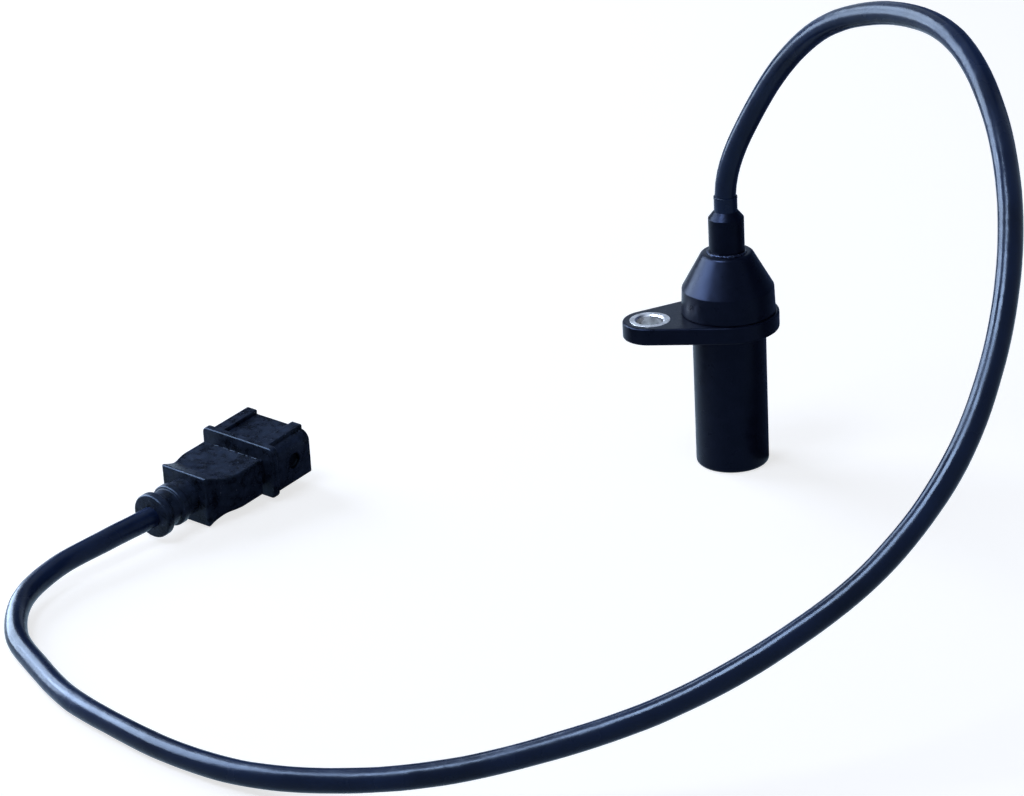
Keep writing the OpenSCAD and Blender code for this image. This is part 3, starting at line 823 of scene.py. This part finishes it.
# Head
def plate_ring(inset, z):
    """The flange and its ear, as the taut outline round two circles."""
    r, e = FLANGE_R - inset, EAR_R - inset
    touch = math.acos((e - r) / EAR_X)
    ends = [(0, r, touch - math.pi, math.pi - touch), (EAR_X, e, math.pi - touch, math.pi + touch)]
    return [(x + radius * math.cos(a), radius * math.sin(a), z)
            for x, radius, start, stop in ends
            for a in (start + (stop - start) * k / ARC_STEPS for k in range(ARC_STEPS + 1))]


def housing_shell():
    """Barrel, flange and ear as one moulding, hollow, with the hole for the bushing."""
    rounding = edge_rounding(PLATE_EDGE_R)
    levels = [(inset, BARREL_LEN + depth) for inset, depth in rounding]
    levels += [(inset, HEAD_TOP - depth) for inset, depth in reversed(rounding)]
    plate = loft("housing_shell", [plate_ring(inset, z) for inset, z in levels])
    root = BARREL_R + BARREL_FILLET + SLIP
    barrel = turned("barrel", [
        (0, 0), (BARREL_R, 0, TIP_R), (BARREL_R, BARREL_LEN, BARREL_FILLET), (root, BARREL_LEN),
        (root, HEAD_TOP - REACH), (0, HEAD_TOP - REACH)])
    combine(plate, "UNION", [barrel])
    cavity = turned("cavity", rod(CAVITY_R, FACE_WALL, HEAD_TOP + REACH))
    hole = turned("hole", rod(BUSHING_R, BARREL_LEN - REACH, HEAD_TOP + REACH), segments=96,
                  place=Matrix.Translation((EAR_X * MM, 0, 0)))
    combine(plate, "DIFFERENCE", [cavity, hole])
    return dress(smooth_shade(plate), "sensor_housing", housing_plastic)


def ear_bushing():
    """The steel bushing, with both ends of its bore chamfered and its edges broken."""
    outer, bore, edge = BUSHING_R - SLIP, BUSHING_BORE_R, BUSHING_EDGE_R
    low, high = BARREL_LEN, HEAD_TOP
    bushing = turned("ear_bushing", [
        (bore + BUSHING_CHAMFER, low, edge), (outer, low, edge), (outer, high, edge),
        (bore + BUSHING_CHAMFER, high, edge), (bore, high - BUSHING_CHAMFER, edge),
        (bore, low + BUSHING_CHAMFER, edge)], segments=128, place=Matrix.Translation((EAR_X * MM, 0, 0)))
    return dress(smooth_shade(bushing), "mounting_bushing", zinc_steel)


def cap_shell():
    """The cap: a short rim with a groove at its foot, a cone with a soft shoulder, and a spigot."""
    cap = turned("cap_shell", [
        (SPIGOT_BORE_R, SPIGOT_LOW), (SPIGOT_R, SPIGOT_LOW, SPIGOT_EDGE_R), (SPIGOT_R, HEAD_TOP),
        (CAP_FOOT_R - FOOT_GROOVE, HEAD_TOP), (CAP_FOOT_R, HEAD_TOP + FOOT_GROOVE, CAP_FOOT_EDGE_R),
        (CAP_R, CONE_Z, RIM_EDGE_R), (CONE_TOP_R, CAP_TOP, SHOULDER_R), (STEM_R + SLIP, CAP_TOP),
        (STEM_R + SLIP, ROOF_Z), (SPIGOT_BORE_R, CONE_Z)])
    return dress(smooth_shade(cap), "head_cap", housing_plastic)


def gland_collar():
    """The cable gland, with its sloped end and its stem in the cap's roof."""
    gland = turned("gland_collar", [
        (CORE_BORE_R, ROOF_Z), (STEM_R, ROOF_Z), (STEM_R, CAP_TOP), (GLAND_R, CAP_TOP),
        (GLAND_R, GLAND_SLOPE_Z, GLAND_EDGE_R), (GLAND_TOP_R, GLAND_TOP, GLAND_END_EDGE_R),
        (CABLE_BORE_R, GLAND_TOP), (CABLE_BORE_R, CABLE_START_Z), (CORE_BORE_R, CABLE_START_Z)])
    return dress(smooth_shade(gland), "cable_gland", gland_plastic)


def resin_bead():
    """The sealing bead, squeezed out unevenly round the gland's foot."""
    bead = turned("resin_bead", [
        (GLAND_R, CAP_TOP), (GLAND_R + BEAD_W, CAP_TOP),
        (GLAND_R + BEAD_W, CAP_TOP + BEAD_H, BEAD_H * BEAD_EDGE_SHARE), (GLAND_R, CAP_TOP + BEAD_H)],
        segments=200)
    thin_side = math.radians(BEAD_THIN_SIDE)
    for vertex in bead.data.vertices:
        x, y, z = vertex.co / MM
        radius, rise = math.hypot(x, y), z - CAP_TOP
        thick = BEAD_MEAN - BEAD_SWING * math.cos(math.atan2(y, x) - thin_side)
        uneven = noise.fractal(Vector((x, y, LUMP_SLICE)) * LUMP_SCALE, *LUMP_FRACTAL)
        lump = thick * (1 + uneven * LUMP_SHARE)
        out = (GLAND_R + (radius - GLAND_R) * lump) / radius
        vertex.co = Vector((x * out, y * out, CAP_TOP + max(rise, 0) * lump)) * MM
    return dress(smooth_shade(bead, BEAD_CREASE), "seal_bead", resin)


def sleeve_tube():
    """The thin sleeve on the cable, with a rolled lip at its upper end."""
    lip_r, lip_z = SLEEVE_R + SLEEVE_LIP, SLEEVE_TOP - SLEEVE_LIP_H
    sleeve = turned("sleeve_tube", [
        (CABLE_BORE_R, GLAND_TOP), (SLEEVE_R, GLAND_TOP), (SLEEVE_R, lip_z),
        (lip_r, lip_z, SLEEVE_LIP_ROOT_R), (lip_r, SLEEVE_TOP, SLEEVE_LIP_EDGE_R),
        (CABLE_BORE_R, SLEEVE_TOP)], segments=128)
    return dress(smooth_shade(sleeve), "cable_sleeve", sheath)


def winding_turns():
    """The winding: rings of enamelled wire on a core."""
    low, high = (corner.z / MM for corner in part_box("coil_winding"))
    core_r = WINDING_R - WIRE_R
    core = turned("winding_turns", [
        (WINDING_BORE_R, low), (core_r, low), (core_r, high), (WINDING_BORE_R, high)], segments=96)
    turns = int((high - low) / (2 * WIRE_R))
    run_tree(core, wire_turns_tree(), turns=turns, pitch=(0, 0, (high - low) / turns * MM),
             first=(0, 0, (low + WIRE_R) * MM), turn_radius=core_r * MM, wire_radius=WIRE_R * MM,
             material=copper)
    return dress(core, "coil_winding", copper)


# Plug
def grip_half(x):
    """Half width of the grip: narrow at the lip, then out in an S-bend."""
    t = min(max((x - LIP_SIDE) / SIDE_BEND_LEN, 0), 1)
    return (LIP_W + (GRIP_W - LIP_W) * t * t * (3 - 2 * t)) / 2


def lip_flare(x, flat):
    """Height of the grip's top or bottom face: a straight flare that blends into the flat face."""
    edge = math.copysign(LIP_H / 2, flat)
    slope = (flat - edge) / LIP_SLOPE
    if x <= LIP_SLOPE - LIP_BLEND:
        return edge + slope * x
    if x >= LIP_SLOPE + LIP_BLEND:
        return flat
    t = (x - (LIP_SLOPE - LIP_BLEND)) / (2 * LIP_BLEND)
    return edge + slope * (LIP_SLOPE - LIP_BLEND) + slope * 2 * LIP_BLEND * (t - t * t / 2)


def grip_body():
    """The grip as a skin over rounded sections, soft at both ends."""
    rear, front = edge_rounding(LIP_EDGE_R, LIP_EDGE_STEPS), edge_rounding(GRIP_EDGE_R)
    stations = [(depth, inset) for inset, depth in rear]
    first, last = stations[-1][0], GRIP_LEN - front[-1][1]
    stations += [(first + (last - first) * k / GRIP_STATIONS, 0) for k in range(1, GRIP_STATIONS)]
    stations += [(GRIP_LEN - depth, inset) for inset, depth in reversed(front)]
    rings = []
    for x, inset in stations:
        top, bottom = lip_flare(x, GRIP_TOP) - inset, lip_flare(x, GRIP_BOTTOM) + inset
        corner = max(GRIP_CORNER_R - inset, LEAST_R)
        section = rounded_rect(2 * (grip_half(x) - inset), top - bottom, corner, corner, (top + bottom) / 2)
        rings.append([(x, y, z) for y, z in section])
    return loft("grip_moulding", rings, PLUG)


def boot_ring(radius, rear):
    """The outline of one of the boot's rings, up to its rear edge."""
    front = rear - BOOT_RING_LEN
    rounding = min(BOOT_EDGE_R, (radius - BOOT_NECK_R) * BOOT_EDGE_SHARE)
    return [(BOOT_NECK_R, front, BOOT_ROOT_R), (radius, front, rounding), (radius, rear, rounding)]


def boot():
    """The ringed boot behind the lip, round the cable."""
    middle = BOOT_LEN / 2
    profile = [(0, -CABLE_DEPTH), (BOOT_NECK_R, -CABLE_DEPTH), *boot_ring(BOOT_MID_RING_R, middle),
               (BOOT_NECK_R, middle, BOOT_ROOT_R), *boot_ring(BOOT_RING_R, BOOT_LEN), (0, BOOT_LEN)]
    backwards = Matrix.Rotation(-math.pi / 2, 4, "Y")
    return turned("boot", profile, segments=128, place=PLUG @ backwards)


def parting_flash():
    """Thin broken flash along the grip's front edge, left by the mould."""
    return [bar("flash", GRIP_LEN - FLASH_BACK, GRIP_LEN - FLASH_FRONT, left - right, FLASH_H,
                top_r=0.12, low_r=0.1, edge=0.12, at=((left + right) / 2, GRIP_TOP - FLASH_DROP))
            for left, right in FLASH_RUNS]


def grip_moulding():
    """The plug's rear half with its boot, hollow for the cable, the cores and the shell's neck."""
    grip = grip_body()
    combine(grip, "UNION", [boot(), *parting_flash()])
    forwards = Matrix.Rotation(math.pi / 2, 4, "Y")
    passage = turned("passage", rod(CABLE_BORE_R, -BOOT_LEN - REACH, CABLE_DEPTH), segments=96,
                     place=PLUG @ forwards)
    room = bar("room", CABLE_DEPTH - ROOM_LAP, NECK_X + ROOM_LAP, ROOM_W, ROOM_H,
               top_r=0.3, low_r=0.3, edge=0.1)
    pocket = bar("pocket", NECK_X, GRIP_LEN + REACH, NECK_W + 2 * SLIP, NECK_H + 2 * SLIP,
                 top_r=0.1, low_r=0.1, edge=0.05, at=(0, GRIP_MID))
    combine(grip, "DIFFERENCE", [passage, room, pocket])
    return dress(smooth_shade(grip), "plug_grip", grip_plastic)


def dimple(side):
    """The cutter for the detent dimple in one of the socket's side walls."""
    wall = SOCKET_W / 2
    floor = wall - DIMPLE_DEPTH
    inner, outer = DIMPLE_R - DIMPLE_LIP, DIMPLE_R + DIMPLE_LIP
    sideways = Matrix.Rotation(-side * math.pi / 2, 4, "X")
    return turned("dimple", [
        (0, floor), (inner, floor, DIMPLE_FLOOR_R), (inner, wall - DIMPLE_LIP, DIMPLE_EDGE_R),
        (outer, wall + DIMPLE_LIP), (0, wall + DIMPLE_LIP)], segments=64,
        place=PLUG @ Matrix.Translation((DIMPLE_X * MM, 0, 0)) @ sideways)


def socket_shell():
    """The plug's front half: neck, collar and ribbed socket, with a detent dimple on each side."""
    shell = bar("socket_shell", COLLAR_X + SOCKET_LAP, MOUTH_X, SOCKET_W, SOCKET_H,
                top_r=SOCKET_TOP_R, low_r=SOCKET_LOW_R, edge=0.3)
    neck = bar("neck", NECK_X, COLLAR_X + REACH, NECK_W, NECK_H,
               top_r=0.3, low_r=0.3, edge=0.1, at=(0, GRIP_MID))
    collar = bar("collar", COLLAR_X, SOCKET_X, COLLAR_W, COLLAR_H, top_r=COLLAR_R, low_r=COLLAR_R, edge=0.4)
    ribs = [bar("rib", COLLAR_X + RIB_LAP, MOUTH_X - RIB_SETBACK, RIB_W, COLLAR_H / 2,
                top_r=0.35, low_r=0.1, edge=0.25, at=(side * (RIB_SPAN - RIB_W) / 2, COLLAR_H / 4))
            for side in (-1, 1)]
    combine(shell, "UNION", [neck, collar, *ribs])
    hollow = bar("hollow", FLOOR_X, MOUTH_X + REACH, SOCKET_W - 2 * SOCKET_WALL, SOCKET_H - 2 * SOCKET_WALL,
                 top_r=SOCKET_TOP_R - SOCKET_WALL, low_r=0.2, edge=0.15)
    dimples = [dimple(side) for side in (-1, 1)]
    slots = [bar("slot", NECK_X - REACH, FLOOR_X + REACH, BLADE_W + 2 * SLIP, BLADE_T + 2 * SLIP,
                 top_r=0.05, low_r=0.05, edge=0.02, at=(i * BLADE_PITCH, 0)) for i in (-1, 0, 1)]
    combine(shell, "DIFFERENCE", [hollow, *dimples, *slots])
    return dress(smooth_shade(shell), "plug_shell", shell_plastic)


# Stage: a white floor and world, lamps, and dark cards that stand or lie beside the object
FLOOR_HALF = 8.0
FLOOR_COLOUR = colour(0.52, 0.46, 0.42)
FLOOR_MIRRORED = colour(0.5, 0.75, 1.0)
FLOOR_LIFT = 0.72
AMBIENT = 0.2
LAMP_COLOUR = colour(0.6, 0.76, 1.0)
KEY = {"at": (-0.67, 0.676, 0.36), "aim": (-0.07, -0.08, 0.05), "width": 0.7, "height": 0.74}
OVERHEAD = {"at": (-0.45, -0.22, 0.84), "aim": (-0.05, -0.13, 0.03), "width": 0.4, "height": 0.3}
EDGE = {"at": (-0.315, 0.02, 0.205), "aim": (-0.04, 0.0, 0.05), "width": 0.22, "height": 0.2}
SHEEN_STEP = 0.04
CARD_COLOUR = colour(0.12, 0.15, 0.24)
CARD_Z = 0.0003
HEAD_CARD = [(0.09, -0.06, 0), (0.09, 0.25, 0), (0.09, 0.25, 0.35), (0.09, -0.06, 0.35)]
BARREL_CARD = [(0.0095, -0.03, CARD_Z), (0.1, -0.05, CARD_Z), (0.1, 0.13, CARD_Z), (0.0095, 0.1, CARD_Z)]
PLUG_BACK_CARD = [(-0.19, 0.22, 0.03), (-0.06, 0.22, 0.03), (-0.06, 0.22, 0.2), (-0.19, 0.22, 0.2)]

# Corners of the card beside the plug, in the plug's own millimetres; it lies flat on the floor
PLUG_CARD = [(-14, -8, 0), (75, -8, 0), (75, -45, 0), (-14, -45, 0)]


def seen_directly(tree):
    """1 for rays from the camera, a mirror or glass, and 0 for the rays that carry light."""
    path = tree.nodes.new("ShaderNodeLightPath")
    total = path.outputs["Is Camera Ray"]
    for label in ("Is Glossy Ray", "Is Transmission Ray"):
        larger = tree.nodes.new("ShaderNodeMath")
        larger.operation = "MAXIMUM"
        tree.links.new(total, larger.inputs[0])
        tree.links.new(path.outputs[label], larger.inputs[1])
        total = larger.outputs[0]
    return total


def white_to_camera(tree, elsewhere):
    """White for the camera's own rays, and another colour for all other rays."""
    path = tree.nodes.new("ShaderNodeLightPath")
    tone = tree.nodes.new("ShaderNodeMix")
    tone.data_type = "RGBA"
    tone.inputs[MIX_FIRST].default_value = elsewhere
    tone.inputs[MIX_SECOND].default_value = WHITE
    tree.links.new(path.outputs["Is Camera Ray"], tone.inputs["Factor"])
    return tone.outputs[MIX_RESULT]


def flat_panel(name, corners):
    """A four-cornered panel with a matt material, and that material's tree and shader."""
    mesh = bpy.data.meshes.new(name)
    mesh.from_pydata(corners, [], [(0, 1, 2, 3)])
    panel = add_object(name, mesh)
    material = bpy.data.materials.new(name)
    material.use_nodes = True
    shader = material.node_tree.nodes["Principled BSDF"]
    shader.inputs["Specular IOR Level"].default_value = 0.0
    mesh.materials.append(material)
    return panel, material.node_tree, shader


def white_floor():
    """A white floor that keeps the object's shadow and meets a white background."""
    half = FLOOR_HALF
    floor, tree, shader = flat_panel(
        "white_floor", [(-half, -half, 0), (half, -half, 0), (half, half, 0), (-half, half, 0)])
    shader.inputs["Base Color"].default_value = FLOOR_COLOUR
    shader.inputs["Roughness"].default_value = 0.9
    tree.links.new(white_to_camera(tree, FLOOR_MIRRORED), shader.inputs["Emission Color"])
    lift = tree.nodes.new("ShaderNodeMath")
    lift.operation = "MULTIPLY"
    lift.inputs[1].default_value = FLOOR_LIFT
    tree.links.new(seen_directly(tree), lift.inputs[0])
    tree.links.new(lift.outputs[0], shader.inputs["Emission Strength"])


def white_world():
    """White where it is seen, and a soft even light elsewhere."""
    world = bpy.data.worlds.new("studio")
    world.use_nodes = True
    bpy.context.scene.world = world
    tree = world.node_tree
    background = tree.nodes["Background"]
    tree.links.new(white_to_camera(tree, LAMP_COLOUR), background.inputs["Color"])
    level = tree.nodes.new("ShaderNodeMapRange")
    level.inputs["To Min"].default_value = AMBIENT
    level.inputs["To Max"].default_value = 1.0
    tree.links.new(seen_directly(tree), level.inputs["Value"])
    tree.links.new(level.outputs["Result"], background.inputs["Strength"])


def softbox(name, at, aim, width, height, radiance, sheen_only=False):
    """A rectangular lamp that faces a point, as bright as so many times white, or one for sheens alone."""
    data = bpy.data.lights.new(name, "AREA")
    data.shape = "RECTANGLE"
    data.size, data.size_y = width, height
    data.energy = radiance * width * height * math.pi
    data.color = LAMP_COLOUR[:3]
    lamp = add_object(name, data)
    ahead = Vector(aim) - Vector(at)
    lamp.location = Vector(at) + ahead * (SHEEN_STEP if sheen_only else 0)
    lamp.rotation_euler = ahead.to_track_quat("-Z", "Y").to_euler()
    lamp.visible_diffuse = not sheen_only


def dark_card(name, corners):
    """A dark card that only reflections show, to keep the faces on its side dark."""
    card, _, shader = flat_panel(name, corners)
    shader.inputs["Base Color"].default_value = CARD_COLOUR
    card.visible_camera = card.visible_diffuse = card.visible_shadow = card.visible_transmission = False


add_camera()
cable, cable_line = sheathed_cable()
grip = grip_moulding()
shell = socket_shell()
housing_shell()
ear_bushing()
cap_shell()
gland_collar()
resin_bead()
sleeve_tube()
winding_turns()

for name, material in {
    "pole_pin": soft_iron, "magnet": magnet_alloy,
    "coil_bobbin": bobbin_plastic, "post_carrier": bobbin_plastic,
    "coil_posts": tinned_brass, "coil_lead_front": white_core, "coil_lead_back": brown_core,
    "blade_left": tinned_brass, "blade_middle": tinned_brass, "blade_right": tinned_brass,
    "plug_wire_left": white_core, "plug_wire_middle": drain_core, "plug_wire_right": brown_core,
}.items():
    nodes[name].data.materials.clear()
    nodes[name].data.materials.append(material)

white_floor()
white_world()
softbox("key", **KEY, radiance=8)
softbox("key_sheen", **KEY, radiance=7, sheen_only=True)
softbox("overhead", **OVERHEAD, radiance=8)
softbox("overhead_sheen", **OVERHEAD, radiance=48, sheen_only=True)
softbox("edge_sheen", **EDGE, radiance=28, sheen_only=True)
dark_card("head_card", HEAD_CARD)
dark_card("barrel_card", BARREL_CARD)
dark_card("plug_back_card", PLUG_BACK_CARD)
dark_card("plug_card", [(*(PLUG @ (Vector(corner) * MM)).xy, CARD_Z) for corner in PLUG_CARD])

bpy.context.scene.view_settings.view_transform = "Standard"
